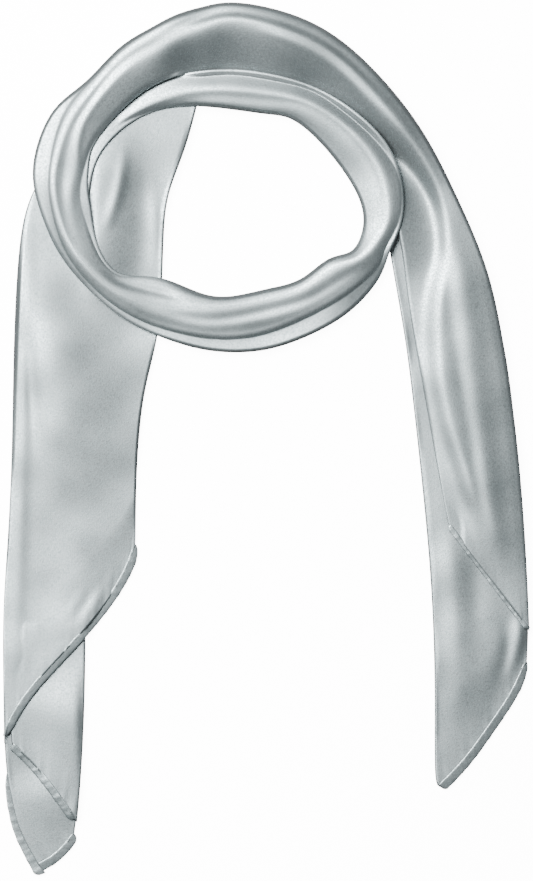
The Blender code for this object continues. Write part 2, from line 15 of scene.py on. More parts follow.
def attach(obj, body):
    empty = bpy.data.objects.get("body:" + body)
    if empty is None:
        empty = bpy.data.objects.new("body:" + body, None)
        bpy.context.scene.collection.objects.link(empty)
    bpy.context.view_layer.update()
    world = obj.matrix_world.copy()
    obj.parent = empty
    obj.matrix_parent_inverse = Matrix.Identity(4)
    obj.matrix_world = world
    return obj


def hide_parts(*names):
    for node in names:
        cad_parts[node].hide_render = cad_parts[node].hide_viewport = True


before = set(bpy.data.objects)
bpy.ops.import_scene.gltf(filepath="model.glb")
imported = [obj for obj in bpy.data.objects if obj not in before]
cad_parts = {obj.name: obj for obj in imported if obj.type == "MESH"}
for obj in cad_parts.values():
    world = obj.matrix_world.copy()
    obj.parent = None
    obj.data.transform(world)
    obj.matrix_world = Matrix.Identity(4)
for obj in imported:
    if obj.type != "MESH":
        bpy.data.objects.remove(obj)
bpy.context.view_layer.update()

MM = 0.001
PLAN_WIDTH = 251.1
PLAN_LENGTH = 414.6

# Cloth: the thickness of its wall, the air between layers and the thinnest bundle.
CLOTH = 0.28
AIR = 0.15
THINNEST = 1.0

# A bundle's rolled edge. As shares of the bundle's depth: where its lower layers end, the most that
# the roll lifts the edge over them, the longest roll, and the deepest groove between two layers.
# ROLL_LIFT and SETBACK limit the lift and the groove in millimetres as well.
GROOVE_LEVEL = 0.42
LIFT_SHARE = 0.2
ROLL_SHARE = 1.2
SETBACK_SHARE = 0.6
ROLL_LIFT = 0.5
SETBACK = 0.8
LIP_STEPS = 3
LIP_FULLNESS = 0.7

# Flaps folded under a bundle: their shares of the way across, and how far one lies over the other.
UNDER_SHARES = (0.55, 0.40, 0.22, 0.07)
OVERLAP = 0.45

# Where cloth rests: rays go down from a height, in a ring round each spot, at every other row and a
# few columns. The heights found are then evened out along the cloth and across it, by widths in
# rows and columns. Evening out looks as far as BLUR_REACH times its width.
PROBE_HEIGHT = 60.0
PROBE_TURNS = 8
REST_ROW_STEP = 2
REST_COLUMNS = 13
REST_BLUR_ALONG = 1.2
REST_BLUR_ACROSS = 0.6
BLUR_REACH = 2.5

# The run and the flat layers: distance between rows, columns across, the roll at their edges, the
# reach of the rays under them, the lower layers that show at their edges, how far heights are evened
# out, and how quickly a fold rises and fades along its line. STEP_ROLL is the roll of the step behind
# the run's shoulder, and LAYER_EDGE the strip beside a flat layer's edge where its folds fade.
RUN_SPACING = 2.2
RUN_ACROSS = 70
RUN_ROLL = 2.0
RUN_REACH = 3.0
RUN_LAYERS = 2
RUN_BLUR_ACROSS = 1.3
RUN_BLUR_ALONG = 1.5
RUN_FADE = 4.0
STEP_ROLL = 2.4
LAYER_SPACING = 1.5
LAYER_ROLL = 1.0
LAYER_REACH = 3.5
LAYER_LAYERS = 1
LAYER_BLUR_DOWN = 5.0
LAYER_EDGE = 3.0
LAYER_FADE = 2.2

# Points in which smooth lines are measured: the run's middle, a border, a fold and a hem.
RUN_POINTS = 4000
BORDER_POINTS = 600
FOLD_POINTS = 41
HEM_POINTS = 60

# Sections across the run of cloth that goes from the right tail's top layer over the top, down the
# left side, round the bottom of the ring, up its right side and back over the top to the left.
# Each row is one section from the run's outer edge to its inner edge: the two plan points, the
# height at the outer edge, a shoulder (share of the way across, height, and the step up behind it),
# the crown, the foot of the inner slope, and the height at the inner edge.
RUN_COLUMNS = (
    "out_x", "out_y", "in_x", "in_y", "out_z", "shoulder_at", "shoulder_z", "step",
    "crown_at", "crown_z", "foot_at", "foot_z", "in_z")

RIGHT_FRONT_ROWS = (
    (249.3, 297.0, 211.3, 247.4, 3.8, 0.15, 4.4, 0.0, 0.58, 5.9, 0.90, 4.2, 3.8),
    (247.8, 262.5, 207.5, 228.5, 4.2, 0.15, 5.4, 0.0, 0.50, 7.3, 0.82, 4.4, 3.8),
    (243.5, 208.5, 201.0, 193.0, 4.8, 0.13, 5.8, 0.0, 0.72, 7.6, 0.92, 4.8, 3.8),
    (235.5, 153.0, 192.5, 143.5, 5.6, 0.13, 6.6, 0.0, 0.64, 7.8, 0.86, 4.2, 3.8))

TOP_ARC_ROWS = (
    (226.5, 119.0, 189.0, 118.5, 6.2, 0.15, 6.8, 0.0, 0.40, 7.3, 0.60, 4.2, 5.8),
    (213.0, 88.0, 182.0, 89.5, 7.0, 0.12, 7.4, 0.0, 0.20, 7.5, 0.49, 2.8, 6.4),
    (195.5, 56.5, 171.5, 69.5, 7.6, 0.12, 9.0, 0.0, 0.28, 10.4, 0.80, 1.8, 1.6),
    (169.0, 26.0, 153.5, 51.0, 7.4, 0.12, 9.0, 0.0, 0.28, 11.2, 0.93, 1.7, 1.5),
    (141.5, 8.3, 135.0, 45.0, 8.0, 0.10, 9.5, 0.0, 0.24, 12.0, 0.96, 1.6, 1.5),
    (113.0, 1.4, 113.0, 40.0, 8.4, 0.08, 9.7, 0.0, 0.22, 12.2, 0.96, 1.6, 1.5),
    (96.5, 3.0, 100.0, 38.5, 8.4, 0.10, 10.2, 0.0, 0.28, 12.5, 0.94, 1.9, 1.6))

FRONT_BAND_ROWS = (
    (83.0, 7.0, 88.3, 35.8, 9.4, 0.12, 11.4, 0.0, 0.36, 12.3, 0.86, 5.6, 4.2),
    (70.5, 13.5, 76.0, 39.0, 10.0, 0.12, 11.6, 0.0, 0.42, 12.2, 0.88, 9.2, 7.6),
    (55.5, 23.2, 61.5, 48.5, 9.2, 0.14, 11.2, 0.0, 0.44, 12.0, 0.86, 10.0, 8.2),
    (40.0, 38.8, 46.0, 66.0, 8.2, 0.08, 9.8, 0.4, 0.40, 11.6, 0.84, 9.8, 8.0),
    (24.5, 53.0, 42.0, 78.0, 7.2, 0.22, 8.8, 0.5, 0.44, 10.7, 0.82, 9.4, 7.6),
    (15.7, 77.5, 41.5, 88.5, 7.0, 0.30, 8.8, 0.5, 0.46, 10.0, 0.80, 8.9, 7.2),
    (18.8, 99.0, 43.0, 99.0, 6.6, 0.24, 8.2, 0.5, 0.42, 9.6, 0.80, 8.4, 6.7),
    (28.5, 120.5, 46.5, 116.0, 6.3, 0.18, 7.4, 0.6, 0.44, 9.0, 0.82, 7.8, 6.0),
    (44.5, 139.0, 55.0, 128.0, 6.2, 0.15, 6.6, 1.2, 0.50, 9.0, 0.85, 7.4, 5.8),
    (60.5, 151.5, 67.0, 130.0, 5.8, 0.14, 5.8, 1.3, 0.50, 8.5, 0.78, 7.0, 5.2),
    (77.5, 159.5, 81.0, 132.5, 5.6, 0.16, 5.2, 1.4, 0.54, 7.9, 0.82, 6.5, 4.6),
    (96.0, 164.8, 98.5, 139.0, 5.4, 0.22, 4.8, 1.6, 0.76, 7.4, 0.92, 6.2, 3.8),
    (115.5, 166.0, 114.5, 138.5, 5.4, 0.25, 4.6, 1.6, 0.80, 7.2, 0.93, 6.0, 3.6),
    (134.0, 162.6, 128.0, 135.5, 5.4, 0.29, 4.6, 1.6, 0.80, 7.2, 0.93, 6.0, 3.6),
    (153.0, 154.5, 142.0, 131.0, 5.0, 0.32, 4.6, 1.6, 0.82, 7.4, 0.94, 6.0, 3.6),
    (168.0, 144.0, 154.5, 122.0, 3.8, 0.27, 4.8, 1.2, 0.80, 7.8, 0.94, 6.2, 3.6),
    (179.0, 130.5, 165.0, 118.4, 4.0, 0.22, 5.0, 1.1, 0.70, 8.2, 0.90, 6.2, 3.6))

INNER_ARC_ROWS = (
    (183.6, 118.6, 170.0, 110.5, 5.2, 0.10, 6.3, 0.3, 0.48, 8.5, 0.80, 6.2, 3.8),
    (188.5, 107.0, 171.0, 102.0, 6.6, 0.10, 7.6, 0.0, 0.34, 8.7, 0.66, 6.8, 4.4),
    (190.0, 92.0, 168.5, 92.5, 7.0, 0.10, 7.9, 0.0, 0.34, 8.7, 0.66, 6.8, 4.6),
    (186.0, 74.5, 161.5, 80.5, 5.8, 0.10, 6.8, 0.0, 0.36, 8.6, 0.66, 6.9, 4.8),
    (173.5, 58.0, 150.0, 66.5, 5.6, 0.12, 6.2, 0.0, 0.40, 8.4, 0.70, 7.2, 5.2),
    (153.0, 43.5, 137.5, 56.5, 5.0, 0.12, 5.7, 0.0, 0.48, 8.2, 0.78, 7.2, 5.6),
    (132.0, 36.0, 126.0, 54.0, 4.6, 0.12, 5.2, 0.0, 0.52, 8.0, 0.80, 7.2, 5.9),
    (112.0, 33.0, 111.0, 52.0, 4.4, 0.12, 5.0, 0.0, 0.54, 7.9, 0.82, 7.2, 6.0),
    (94.0, 33.7, 96.5, 50.5, 4.4, 0.12, 5.0, 0.0, 0.58, 7.8, 0.84, 7.1, 5.8),
    (77.5, 37.5, 84.0, 50.5, 4.4, 0.10, 5.2, 0.0, 0.64, 7.4, 0.86, 6.6, 5.2),
    (60.5, 46.5, 70.5, 53.5, 4.3, 0.12, 5.0, 0.0, 0.68, 6.8, 0.88, 5.9, 4.8),
    (46.5, 60.0, 56.0, 62.5, 4.3, 0.15, 4.8, 0.0, 0.60, 6.0, 0.85, 5.4, 4.6),
    (36.0, 78.0, 45.4, 77.0, 4.3, 0.15, 4.7, 0.0, 0.50, 5.4, 0.85, 5.0, 4.5),
    (32.4, 96.0, 41.6, 95.0, 4.3, 0.15, 4.7, 0.0, 0.50, 5.3, 0.85, 4.9, 4.5))

RUN_ROWS = RIGHT_FRONT_ROWS + TOP_ARC_ROWS + FRONT_BAND_ROWS + INNER_ARC_ROWS
FRONT_BAND_START = len(RIGHT_FRONT_ROWS) + len(TOP_ARC_ROWS)
INNER_ARC_START = FRONT_BAND_START + len(FRONT_BAND_ROWS)
INNER_ARC_END = len(RUN_ROWS) - 1

# Folds along the run: first and last section, rise (a trough is below zero), half widths towards
# the outer and the inner edge, then its share of the way across at even steps between the sections.
RUN_FOLDS = (
    ("right tail soft ridge", 0.0, 5.0, 0.5, 6.0, 5.5, (0.38, 0.38, 0.40, 0.36, 0.30, 0.26)),
    ("right tail trough", 0.0, 4.5, -0.35, 4.2, 4.2, (0.52, 0.52, 0.55, 0.52, 0.44)),
    ("top rim ridge", 6.0, 12.5, 0.2, 1.6, 1.8, (0.14, 0.10, 0.08, 0.07, 0.08, 0.13, 0.18)),
    ("top rim dip", 6.0, 11.5, -0.35, 1.8, 1.8, (0.22, 0.18, 0.16, 0.14, 0.18, 0.25)),
    ("upper right second ridge", 6.2, 8.8, 0.4, 2.2, 2.6, (0.44, 0.40, 0.34, 0.30)),
    ("left ridge", 10.5, 19.5, 0.5, 3.0, 3.0,
     (0.14, 0.18, 0.20, 0.205, 0.26, 0.35, 0.34, 0.31, 0.45, 0.53)),
    ("left trough", 11.0, 18.5, -0.32, 2.8, 2.8, (0.27, 0.30, 0.31, 0.48, 0.55, 0.46, 0.48)),
    ("left second ridge", 12.0, 17.5, 0.35, 2.8, 2.8, (0.42, 0.44, 0.52, 0.76, 0.70, 0.62)),
    ("ring low ridge", 19.0, 26.2, 0.45, 3.0, 3.0, (0.25, 0.33, 0.41, 0.49, 0.50, 0.50, 0.46)),
    ("ring low trough", 19.5, 28.0, -0.4, 2.6, 2.6, (0.40, 0.43, 0.58, 0.65, 0.60, 0.54, 0.45)),
    ("ring inner flap trough", 18.5, 21.5, -0.6, 2.0, 2.2, (0.80, 0.76, 0.74, 0.78)),
    ("ring groove", 28.0, 38.0, -0.35, 2.2, 2.6,
     (0.62, 0.52, 0.50, 0.50, 0.52, 0.60, 0.67, 0.69, 0.75, 0.83)))

# Flat layers, each a patch between smooth borders given by the fewest plan points: its left and
# right sides from top to bottom, then its bottom side from left to right. Its top is straight.
LEFT_TOP_SIDES = {
    "left": ((42.5, 57.0), (27.5, 71.0), (16.5, 88.5), (10.8, 105.5), (8.0, 130.0), (6.6, 160.0),
             (6.0, 187.5), (5.2, 222.0), (3.6, 254.0), (2.0, 280.0), (1.5, 306.0), (2.0, 350.0)),
    "right": ((93.8, 46.0), (87.5, 69.0), (80.5, 88.5), (77.5, 106.0), (76.5, 130.5), (74.0, 159.0),
              (67.8, 187.5), (64.6, 222.0), (64.0, 247.0), (63.8, 256.0)),
    "bottom": ((2.0, 350.0), (5.0, 340.0), (16.5, 322.5), (36.0, 301.0), (53.0, 279.5),
               (61.0, 264.5), (63.8, 256.0))}
LEFT_MIDDLE_SIDES = {
    "left": ((4.0, 298.0), (4.2, 326.0), (5.6, 350.5)),
    "right": ((40.4, 298.0), (39.8, 334.0), (38.2, 366.0), (36.4, 387.0)),
    "bottom": ((5.6, 350.5), (17.0, 361.5), (28.0, 375.5), (36.4, 387.0))}
LEFT_UNDER_SIDES = {
    "left": ((2.0, 316.0), (1.8, 339.0), (3.0, 362.0), (5.6, 378.0), (9.6, 392.0), (18.0, 407.6)),
    "right": ((39.6, 316.0), (39.0, 340.0), (37.6, 370.0), (35.0, 393.0)),
    "bottom": ((18.0, 407.6), (27.0, 402.0), (35.0, 393.0))}
RIGHT_BACK_SIDES = {
    "left": ((181.0, 104.0), (188.2, 145.0), (192.9, 176.0), (198.5, 226.0), (202.8, 274.0),
             (204.6, 322.0), (204.8, 362.0), (207.0, 370.6)),
    "right": ((219.0, 104.0), (235.3, 153.0), (243.3, 208.5), (247.4, 259.5), (248.8, 292.0),
              (248.2, 311.0)),
    "bottom": ((207.0, 370.6), (219.0, 358.0), (229.5, 344.0), (240.0, 328.5), (245.8, 317.0),
               (248.2, 311.0))}

# Folds on the flat layers: three plan points on the fold's line, its rise and its half widths to
# the left and to the right of the line.
LEFT_TOP_FOLDS = (
    ("slope in the ring", (47.0, 30.0), (47.0, 92.0), (47.0, 158.0), 2.6, 8.0, 38.0),
    ("falls to the right", (2.0, 84.0), (26.0, 162.0), (52.0, 266.0), 3.8, 22.0, 30.0),
    ("tongue in the ring", (59.0, 66.0), (56.0, 90.0), (47.5, 114.0), 0.7, 3.0, 2.6),
    ("hollow in the ring", (71.0, 40.0), (68.0, 98.0), (65.0, 166.0), -2.2, 12.0, 16.0),
    ("upright in the ring", (71.0, 76.0), (73.0, 105.5), (72.5, 136.0), 0.3, 3.2, 3.0),
    ("pressed by the ring", (16.0, 96.0), (42.0, 140.0), (84.0, 166.0), -1.6, 15.0, 10.0),
    ("rim", (14.2, 70.0), (11.0, 190.0), (6.6, 350.0), 0.5, 4.6, 3.6),
    ("stripe beside the rim", (12.2, 138.0), (14.3, 182.0), (16.8, 222.0), -0.4, 2.6, 3.2),
    ("long ridge", (13.6, 108.0), (22.0, 176.0), (34.0, 250.0), 0.9, 7.0, 15.0),
    ("lower ridge", (38.0, 230.0), (37.5, 268.0), (27.0, 310.0), 0.5, 12.0, 14.0))
LEFT_MIDDLE_FOLDS = (
    ("long swell", (35.0, 310.0), (34.5, 345.0), (33.5, 384.0), 1.2, 15.0, 4.0),
    ("shallow by the hem", (12.0, 330.0), (19.0, 352.0), (28.0, 372.0), -0.3, 6.0, 7.0))
LEFT_UNDER_FOLDS = (
    ("corner swell", (20.0, 356.0), (28.0, 378.0), (30.0, 402.0), 0.8, 14.0, 5.0),)
RIGHT_BACK_FOLDS = (
    ("left side swell", (207.0, 200.0), (216.0, 288.0), (217.5, 372.0), 1.5, 8.0, 14.0),
    ("dark hollow", (220.0, 244.0), (223.0, 276.0), (224.0, 312.0), -0.7, 6.0, 6.0),
    ("crinkle by the hem", (243.0, 286.0), (244.8, 304.0), (238.0, 326.0), 1.3, 3.4, 2.6),
    ("dent by the crinkle", (236.5, 288.0), (238.8, 308.0), (232.0, 328.0), -0.5, 3.0, 3.0),
    ("middle swell", (231.0, 292.0), (232.0, 320.0), (224.0, 350.0), 0.5, 6.0, 6.0))

# Height of each flat layer's top in its middle, by distance down the plan.
LEFT_TOP_HEIGHTS = ((50.0, 3.6), (122.0, 3.4), (165.0, 2.2), (262.0, 1.7), (300.0, 3.3),
                    (330.0, 4.7), (352.0, 4.7))
LEFT_MIDDLE_HEIGHTS = ((298.0, 1.2), (312.0, 2.2), (330.0, 3.4), (400.0, 3.4))
LEFT_UNDER_HEIGHTS = ((316.0, 0.9), (334.0, 1.6), (410.0, 1.6))
RIGHT_BACK_HEIGHTS = ((110.0, 2.0), (240.0, 2.0), (300.0, 2.2), (335.0, 1.6), (380.0, 1.4))

# Each flat layer: its sides, heights and folds, and its columns across.
LAYERS = {
    "left_tail_under": (LEFT_UNDER_SIDES, LEFT_UNDER_HEIGHTS, LEFT_UNDER_FOLDS, 40),
    "left_tail_middle": (LEFT_MIDDLE_SIDES, LEFT_MIDDLE_HEIGHTS, LEFT_MIDDLE_FOLDS, 40),
    "left_tail_top": (LEFT_TOP_SIDES, LEFT_TOP_HEIGHTS, LEFT_TOP_FOLDS, 80),
    "right_tail_back": (RIGHT_BACK_SIDES, RIGHT_BACK_HEIGHTS, RIGHT_BACK_FOLDS, 56)}

# Rolled hems: the border, the shares of it where the hem starts and stops, its width at both ends,
# the lengths over which its ends narrow, and the share by which its top falls towards the outside.
RIGHT_FRONT_END = (RIGHT_FRONT_ROWS[0][2:4], RIGHT_FRONT_ROWS[0][0:2])
HEM_ROWS = {
    "left_corner_side_hem": (LEFT_UNDER_SIDES["left"], 0.50, 1.05, 3.0, 5.0, 16.0, 3.2, -0.15),
    "left_corner_end_hem": (LEFT_UNDER_SIDES["bottom"], 0.0, 1.02, 4.6, 4.2, 1.5, 4.0, 0.20),
    "left_middle_hem": (LEFT_MIDDLE_SIDES["bottom"], 0.0, 0.97, 3.6, 3.8, 2.0, 3.0, 0.25),
    "left_top_hem": (LEFT_TOP_SIDES["bottom"], 0.03, 1.0, 3.6, 4.4, 8.0, 11.0, 0.2),
    "right_front_hem": (RIGHT_FRONT_END, 0.0, 0.985, 2.6, 2.6, 2.5, 2.5, -0.05),
    "right_back_hem": (RIGHT_BACK_SIDES["bottom"], 0.0, 1.0, 4.6, 4.0, 2.5, 14.0, 0.24)}

# Every hem: its height, how far it lies over the cloth, the distance between its rows, the points
# round it, the reach of the rays under it, how far heights are evened out along it, the share of the
# border over which its heading is measured, and the gap that is closed where its edges meet.
HEM_HEIGHT = 1.25
HEM_OVERLAP = 1.2
HEM_SPACING = 0.5
HEM_AROUND = 26
HEM_REACH = 2.0
HEM_BLUR = 4.0
HEM_WAY_REACH = 0.02
HEM_MERGE = 0.02

# A hem's section, fuller than a circle: the powers of its reach to the side and of its rise, the part
# of its width and height that is left at its ends and the part that they gain from there, and how
# much its crinkles lean.
HEM_SIDE_POWER = 0.45
HEM_LEVEL_POWER = 0.4
HEM_END_WIDTH = (0.15, 0.85)
HEM_END_HEIGHT = (0.7, 0.3)
HEM_CRINKLE_LEAN = 0.3

# Height of a layer's top at its hem, and the length over which it comes down to that.
END_HEIGHT = 1.42
END_TAPER = 38.0

# Uneven ripples: length of the wave, height and phase, along hems and in the cloth near hems. The
# broad ones have their heading in degrees after the length.
HEM_RIPPLES = ((5.3, 0.04, 0.0), (3.3, 0.025, 1.3), (8.7, 0.04, 2.6), (2.3, 0.01, 0.9))
PUCKER_RIPPLES = ((5.9, 0.05, 0.4), (9.1, 0.06, 1.9), (3.7, 0.035, 2.2))
PUCKER_REACH = 4.5
BROAD_RIPPLES = (
    (61.0, 15.0, 0.16, 0.3), (43.0, 80.0, 0.12, 1.7), (34.0, -35.0, 0.09, 2.9),
    (27.0, 55.0, 0.06, 4.1), (21.0, -70.0, 0.04, 5.2))

# Stitches along the hems: distance apart, length, thickness, where they lie across the hem as a
# share of half its width, and how deep they sink into it.
STITCH_STEP = 2.2
STITCH_LENGTH = 0.8
STITCH_THICKNESS = 0.1
STITCH_SIDE = -0.3
STITCH_SINK = 0.05
STITCH_SEGMENTS = 8
STITCH_RINGS = 6


def ease(value):
    value = np.clip(value, 0.0, 1.0)
    return value * value * (3.0 - 2.0 * value)


def quarter_round(value):
    """Rises from 0 to 1 as the side of a roll does."""
    return np.sqrt(1.0 - (1.0 - np.clip(value, 0.0, 1.0)) ** 2)


def ripple(distance, rows):
    return sum(rise * np.sin(2.0 * math.pi * distance / length + phase)
               for length, rise, phase in rows)


def broad_ripple(x, y):
    """Slight unevenness of cloth laid by hand, the same at one plan point on every layer."""
    total = np.zeros_like(x)
    for length, heading, rise, phase in BROAD_RIPPLES:
        way = math.radians(heading)
        along = x * math.cos(way) + y * math.sin(way)
        total += rise * np.sin(2.0 * math.pi * along / length + phase)
    return total


class Curve:
    """Smooth curve through evenly numbered values, with no break in its bend."""

    def __init__(self, values):
        self.values = np.array(values, dtype=float)
        count = len(self.values)
        self.last = count - 1
        self.bend = np.zeros(count)
        if count > 2:
            system = np.eye(count)
            right = np.zeros(count)
            for i in range(1, count - 1):
                system[i, i - 1:i + 2] = (1.0, 4.0, 1.0)
                right[i] = 6.0 * (self.values[i + 1] - 2.0 * self.values[i] + self.values[i - 1])
            self.bend = np.linalg.solve(system, right)

    def at(self, place):
        place = np.clip(place, 0.0, self.last)
        index = np.minimum(place.astype(int), self.last - 1)
        ahead = place - index
        behind = 1.0 - ahead
        return (behind * self.values[index] + ahead * self.values[index + 1]
                + ((behind ** 3 - behind) * self.bend[index]
                   + (ahead ** 3 - ahead) * self.bend[index + 1]) / 6.0)


def without_overshoot(knots, heights, place):
    """Curves through (position, height) knots, one curve to a row, that never swing past a knot."""
    rises = np.diff(heights, axis=1) / np.diff(knots, axis=1)
    slopes = np.zeros_like(heights)
    slopes[:, 0] = rises[:, 0]
    slopes[:, -1] = rises[:, -1]
    same_way = rises[:, :-1] * rises[:, 1:] > 0.0
    total = np.where(same_way, rises[:, :-1] + rises[:, 1:], 1.0)
    slopes[:, 1:-1] = np.where(same_way, 2.0 * rises[:, :-1] * rises[:, 1:] / total, 0.0)
    index = (place[:, :, None] >= knots[:, None, 1:-1]).sum(axis=2)

    def pick(table, ahead):
        return np.take_along_axis(table, index + ahead, axis=1)

    length = pick(knots, 1) - pick(knots, 0)
    part = np.clip((place - pick(knots, 0)) / length, 0.0, 1.0)
    square, cube = part ** 2, part ** 3
    level = ((2 * cube - 3 * square + 1) * pick(heights, 0)
             + (3 * square - 2 * cube) * pick(heights, 1))
    lean = (cube - 2 * square + part) * pick(slopes, 0) + (cube - square) * pick(slopes, 1)
    return level + length * lean


def blur(table, width, axis):
    """Evens out a table over its neighbours along one axis."""
    reach = int(math.ceil(BLUR_REACH * width))
    weights = np.exp(-0.5 * (np.arange(-reach, reach + 1) / width) ** 2)
    weights /= weights.sum()
    edges = [(0, 0)] * table.ndim
    edges[axis] = (reach, reach)
    padded = np.pad(table, edges, mode="edge")
    spots = np.arange(table.shape[axis])
    return sum(weight * np.take(padded, spots + i, axis=axis) for i, weight in enumerate(weights))


def highest_near(table):
    """Each value raised to the highest of its neighbours."""
    padded = np.pad(table, 1, mode="edge")
    rows, columns = table.shape
    return np.max([padded[i:i + rows, j:j + columns] for i in range(3) for j in range(3)], axis=0)


def length_along(points):
    steps = np.linalg.norm(np.diff(points, axis=0), axis=1)
    return np.concatenate([[0.0], np.cumsum(steps)])


def border_points(points, shares):
    """Plan points on a smooth border at shares of its length; past its end it runs on straight."""
    points = np.array(points, dtype=float)
    places = np.linspace(0.0, len(points) - 1.0, BORDER_POINTS)
    walk = np.stack([Curve(points[:, 0]).at(places), Curve(points[:, 1]).at(places)], axis=1)
    lengths = length_along(walk)
    target = np.asarray(shares) * lengths[-1]
    found = np.stack([np.interp(target, lengths, walk[:, i]) for i in (0, 1)], axis=-1)
    beyond = np.maximum(target - lengths[-1], 0.0)[..., None]
    way = (walk[-1] - walk[-4]) / np.linalg.norm(walk[-1] - walk[-4])
    return found + beyond * way


def across_shares(count):
    """Shares of the way across, closer together towards both edges, where the cloth rolls."""
    even = np.linspace(0.0, 1.0, count)
    return 0.5 * even + 0.5 * (0.5 - 0.5 * np.cos(math.pi * even))


def off_line(spots, line):
    """How far each spot is off a smooth line, and its share of the way along it."""
    nearest = np.linalg.norm(spots[:, :, None, :] - line[None, None, :, :], axis=3).argmin(axis=2)
    ways = np.gradient(line, axis=0)
    steps = np.linalg.norm(ways, axis=1)
    ways /= steps[:, None]
    offset = spots - line[nearest]
    ahead = (offset * ways[nearest]).sum(axis=2)
    aside = offset[:, :, 0] * ways[nearest][:, :, 1] - offset[:, :, 1] * ways[nearest][:, :, 0]
    return aside, np.clip((nearest + ahead / steps[nearest]) / (len(line) - 1), 0.0, 1.0)


def to_world(x, y, z):
    return np.stack([(x - PLAN_WIDTH / 2) * MM, (PLAN_LENGTH / 2 - y) * MM, z * MM], axis=-1)


def grid_at(places):
    """Grid of cloth whose vertices are moved to a table of places, one row for each step along."""
    rows, columns = places.shape[:2]
    bm = bmesh.new()
    bmesh.ops.create_grid(bm, x_segments=columns - 1, y_segments=rows - 1, size=1.0)
    across = np.stack([length_along(row) for row in places])
    along = length_along(places[:, columns // 2])
    uv = bm.loops.layers.uv.new("cloth")
    spots = {}
    for vert in bm.verts:
        column = round((vert.co.x + 1.0) / 2.0 * (columns - 1))
        row = round((vert.co.y + 1.0) / 2.0 * (rows - 1))
        spots[vert.index] = (row, column)
    for face in bm.faces:
        for loop in face.loops:
            row, column = spots[loop.vert.index]
            loop[uv].uv = (across[row, column], along[row])
    for vert in bm.verts:
        vert.co = places[spots[vert.index]]
    return bm


def tree_of(places):
    bm = grid_at(places)
    tree = BVHTree.FromBMesh(bm)
    bm.free()
    return tree


def highest_hit(trees, x, y):
    """Height of the highest cloth of these trees over one plan point, or nothing."""
    start = Vector(to_world(x, y, PROBE_HEIGHT))
    hits = [tree.ray_cast(start, Vector((0.0, 0.0, -1.0)))[0] for tree in trees]
    levels = [hit.z / MM for hit in hits if hit is not None]
    return max(levels) if levels else None


def rest_table(trees, spots, reach):
    """Height on which cloth rests at a table of plan spots, over everything in the trees."""
    found = np.zeros(spots.shape[:2])
    if not trees:
        return found
    turns = np.arange(PROBE_TURNS) * (2.0 * math.pi / PROBE_TURNS)
    nudges = [(0.0, 0.0)] + [(reach * math.cos(turn), reach * math.sin(turn)) for turn in turns]
    for spot in np.ndindex(found.shape):
        x, y = spots[spot]
        levels = [highest_hit(trees, x + nudge_x, y + nudge_y) for nudge_x, nudge_y in nudges]
        levels = [level for level in levels if level is not None]
        if levels:
            found[spot] = max(levels) + AIR
    return found


def rest_heights(trees, spots, shares, reach):
    """The same over a fine table of spots, from rays at some of its rows and columns."""
    rows = spots.shape[0]
    picked_rows = np.unique(np.append(np.arange(0, rows, REST_ROW_STEP), rows - 1))
    picked_columns = np.unique(np.linspace(0, len(shares) - 1, REST_COLUMNS).round().astype(int))
    coarse = rest_table(trees, spots[np.ix_(picked_rows, picked_columns)], reach)
    coarse = blur(blur(highest_near(coarse), REST_BLUR_ALONG, 0), REST_BLUR_ACROSS, 1)
    wide = np.stack([np.interp(shares, shares[picked_columns], row) for row in coarse])
    return np.stack([np.interp(np.arange(rows), picked_rows, wide[:, i])
                     for i in range(len(shares))], axis=1)


def wrap(spots, shares, tops, base, roll, lower_layers):
    """Places of cloth wrapped round a bundle: a flap under one side, round that edge, over the top,
    round the other edge and under again. A side shows its lower layers as grooved lips."""
    tops = np.maximum(tops, base + THINNEST)
    heights = tops
    for edge in (0, -1):
        distance = np.linalg.norm(spots - spots[:, edge][:, None, :], axis=2)
        depth = tops[:, edge] - base[:, edge]
        level = base[:, edge] + GROOVE_LEVEL * depth + np.minimum(ROLL_LIFT, LIFT_SHARE * depth)
        rounding = quarter_round(distance / np.minimum(roll, ROLL_SHARE * depth)[:, None])
        heights = level[:, None] + (heights - level[:, None]) * rounding

    def side(edge, inward):
        out = spots[:, edge] - spots[:, inward]
        out /= np.linalg.norm(out, axis=1)[:, None]
        depth = GROOVE_LEVEL * (tops[:, edge] - base[:, edge])
        steps = LIP_STEPS * lower_layers
        columns = []
        for step in range(steps + 1):
            rise = step / steps
            lip = abs(math.sin(rise * lower_layers * math.pi)) ** LIP_FULLNESS
            back = np.minimum(SETBACK, SETBACK_SHARE * depth) * (1.0 - lip)
            plan = spots[:, edge] - out * back[:, None]
            level = base[:, edge] + AIR + (depth - AIR) * rise
            columns.append(to_world(plan[:, 0], plan[:, 1], level))
        return columns

    def under(share_list, lift):
        columns = []
        for share in share_list:
            column = int(np.argmin(np.abs(shares - share)))
            plan = spots[:, column]
            level = base[:, column] + AIR + lift * abs(share - round(share)) * 2.0
            columns.append(to_world(plan[:, 0], plan[:, 1], level))
        return columns

    first = under(UNDER_SHARES, OVERLAP) + side(0, 1)
    last = side(-1, -2)[::-1] + under([1.0 - share for share in UNDER_SHARES[::-1]], 0.0)
    middle = to_world(spots[:, :, 0], spots[:, :, 1], heights)
    return np.concatenate([np.stack(first, axis=1), middle, np.stack(last, axis=1)], axis=1)


